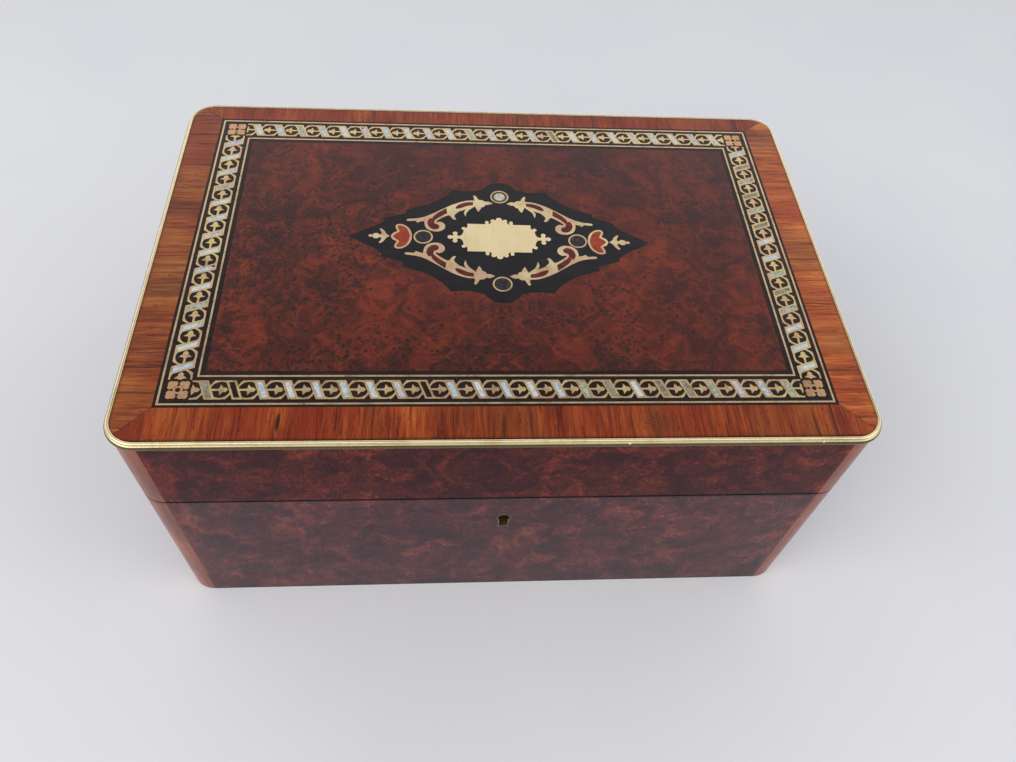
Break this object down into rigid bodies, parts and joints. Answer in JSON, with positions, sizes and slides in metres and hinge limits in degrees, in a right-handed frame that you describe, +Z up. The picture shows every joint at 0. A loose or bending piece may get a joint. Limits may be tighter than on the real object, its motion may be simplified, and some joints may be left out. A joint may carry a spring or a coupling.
{
  "type": "inlaid jewellery box",
  "caption": "Rectangular lidded casket with burl veneered sides, inlaid brass and pearl border and centre panel, brass edge moulding, box lock and hinged lid.",
  "frame": {"origin": "middle of the box's footprint on the surface it stands on", "axes": "+X to the right along the length, +Y to the back where the hinges are, +Z up; the keyhole is in the -Y face"},
  "size_m": [0.3022, 0.2051, 0.137],
  "materials": {
    "carcass_wood": "oiled",
    "corner_burl": "french polish",
    "side_burl": "french polish",
    "crossband": "french polish",
    "field_burl": "french polish",
    "ebony": "french polish",
    "inlay_brass": "polished",
    "fret_brass": "worn polish",
    "pearl": "mother of pearl, polished",
    "red_veneer": "french polish",
    "disc": "dark shell, polished",
    "edge_brass": "polished",
    "hardware_brass": "satin",
    "steel": "satin",
    "lining": "silk velvet"
  },
  "bodies": {
    "base": {"base_front_board": "carcass_wood", "base_back_board": "carcass_wood", "base_left_board": "carcass_wood", "base_right_board": "carcass_wood", "base_bottom_board": "carcass_wood", "base_front_veneer": "side_burl", "base_back_veneer": "side_burl", "base_end_veneers": "side_burl", "base_corner_veneers": "corner_burl", "keyhole_lining": "inlay_brass", "lock_plate": "hardware_brass", "lock_selvedge": "hardware_brass", "lock_case_rim": "hardware_brass", "lock_cap": "hardware_brass", "lock_drill_pin": "hardware_brass", "lock_spring": "steel", "base_screws": "steel", "hinge_base_leaves": "hardware_brass", "hinge_pins": "hardware_brass", "base_floor_pad": "lining", "base_wall_linings": "lining"},
    "lid": {"lid_front_rail": "carcass_wood", "lid_back_rail": "carcass_wood", "lid_left_rail": "carcass_wood", "lid_right_rail": "carcass_wood", "lid_top_board": "carcass_wood", "lid_front_veneer": "side_burl", "lid_back_veneer": "side_burl", "lid_end_veneers": "side_burl", "lid_corner_veneers": "corner_burl", "band_front": "crossband", "band_back": "crossband", "band_left": "crossband", "band_right": "crossband", "border_ground": "ebony", "border_lines": "inlay_brass", "fret_front": "fret_brass", "fret_back": "fret_brass", "fret_ends": "fret_brass", "pearl_bars": "pearl", "corner_flowers": "fret_brass", "field_left": "field_burl", "field_right": "field_burl", "panel_ground": "ebony", "name_plate": "inlay_brass", "scrolls": "fret_brass", "red_inlays": "red_veneer", "palmettes": "fret_brass", "finials": "fret_brass", "roundel_rings": "inlay_brass", "roundel_discs": "disc", "edge_straights": "edge_brass", "edge_bends": "edge_brass", "link_plate": "hardware_brass", "lid_screws": "steel", "hinge_lid_leaves": "hardware_brass", "lid_pad": "lining", "lid_wall_linings": "lining"},
    "lock_bolt": {"lock_bolt": "hardware_brass"}
  },
  "joints": [
    {"name": "lid_hinge", "type": "hinge", "parent": "base", "child": "lid", "pos_m": [0, 0.101, 0.0916], "axis": [-1, 0, 0], "range_deg": [0, 95]},
    {"name": "bolt_slide", "type": "slide", "parent": "base", "child": "lock_bolt", "axis": [1, 0, 0], "range_m": [0, 0.004]}
  ]
}
